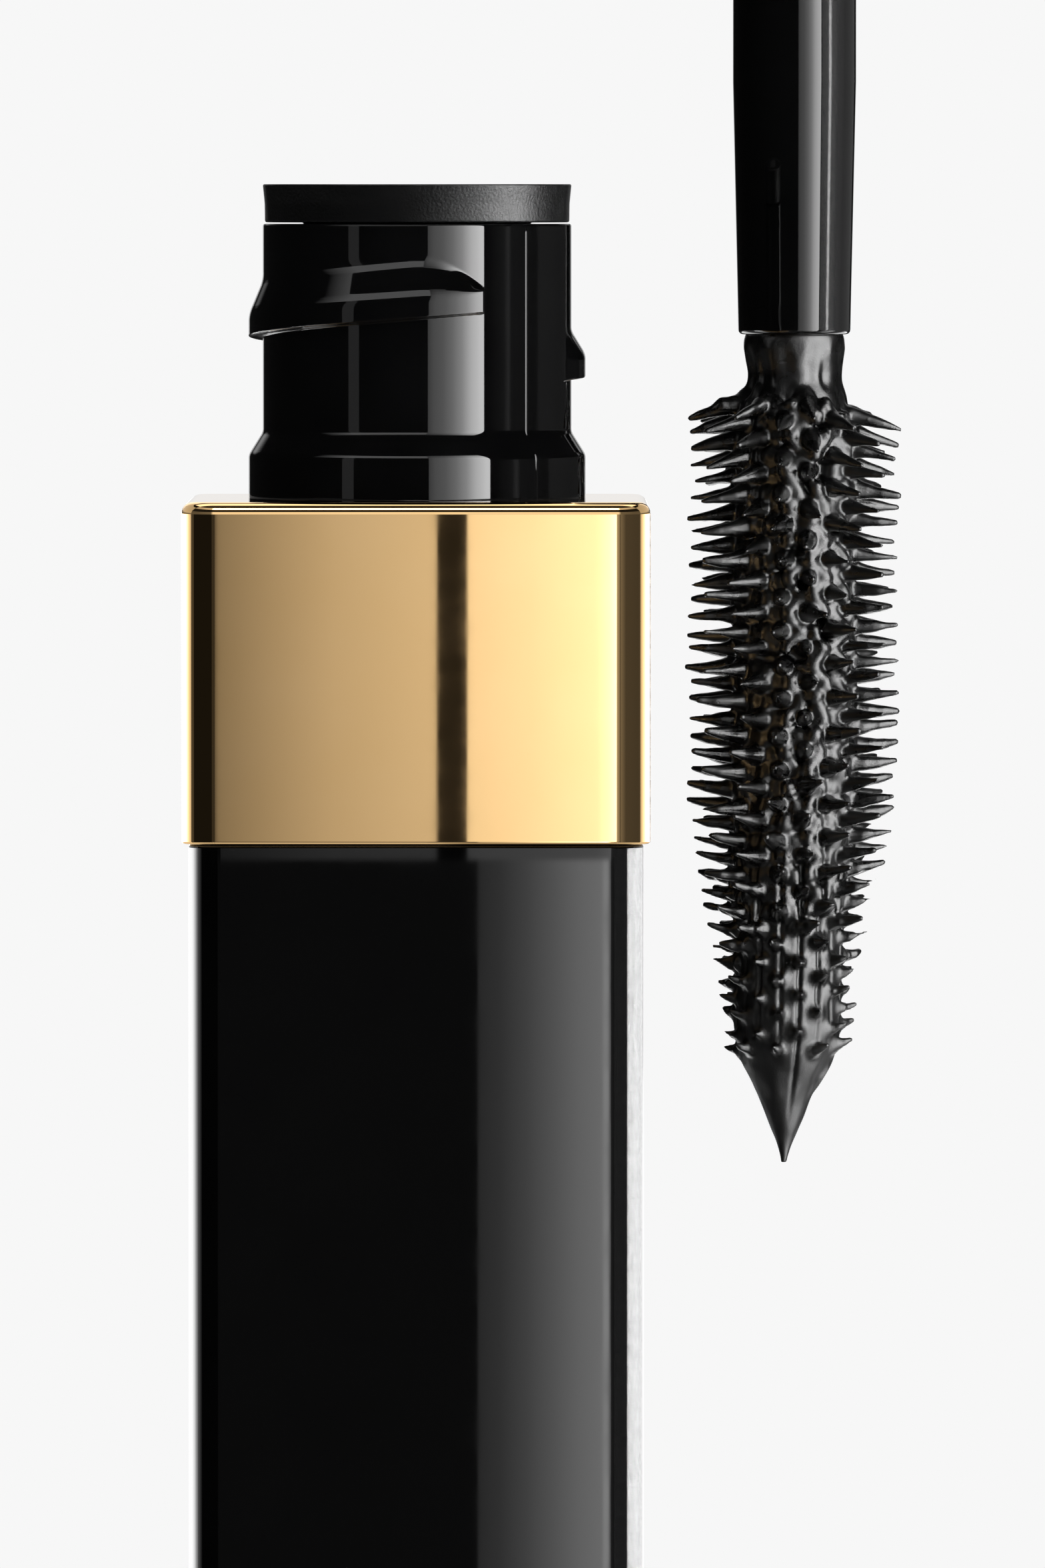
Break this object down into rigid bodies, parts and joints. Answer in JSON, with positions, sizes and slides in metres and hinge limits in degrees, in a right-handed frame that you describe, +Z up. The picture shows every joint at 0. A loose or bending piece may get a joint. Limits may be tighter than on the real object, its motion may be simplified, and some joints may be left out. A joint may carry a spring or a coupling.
{
  "type": "mascara tube",
  "caption": "Open mascara tube: square outer tube with a metal collar, threaded bottle neck with wiper, and a capped applicator with a moulded brush.",
  "frame": {"origin": "centre of the tube's base, on the surface that it stands on", "axes": "+Z up along the tube's axis, -Y towards the viewer, +X towards the side where the open applicator hangs"},
  "size_m": [0.0309, 0.0328, 0.1463],
  "materials": {
    "black_gloss": "high-gloss black moulding",
    "black_neck": "gloss black, as moulded",
    "wiper_satin": "fine-grained satin black",
    "gold_metal": "polished pale-gold anodised metal",
    "inner_plastic": "natural white plastic, hidden inside",
    "seal_foam": "smooth pale elastomer",
    "steel": "plain cut steel",
    "label_paper": "blank satin label",
    "brush_plastic": "moulded black elastomer under product",
    "wet_product": "wet black mascara"
  },
  "bodies": {
    "tube": {"outer_tube": "black_gloss", "base_plug": "black_neck", "base_label": "label_paper", "base_weight": "steel", "bottle_cradle": "inner_plastic", "inner_bottle": "black_neck", "collar": "gold_metal", "collar_sleeve": "inner_plastic", "wiper": "wiper_satin"},
    "seal": {"seal_washer": "seal_foam"},
    "applicator": {"cap_shell": "black_gloss", "cap_spacer": "inner_plastic", "cap_liner": "black_neck", "rod": "black_neck", "brush_core": "brush_plastic", "bristles": "brush_plastic", "product_coat": "wet_product"}
  },
  "joints": [
    {"name": "applicator_carry", "type": "slide", "parent": "tube", "child": "seal", "axis": [-0.2151, -0.244, 0.9456], "range_m": [0, 0.06556]},
    {"name": "applicator_turn", "type": "hinge", "parent": "seal", "child": "applicator", "pos_m": [0.0141, 0.016, 0.09585], "axis": [0, 0, 1], "continuous": true}
  ]
}
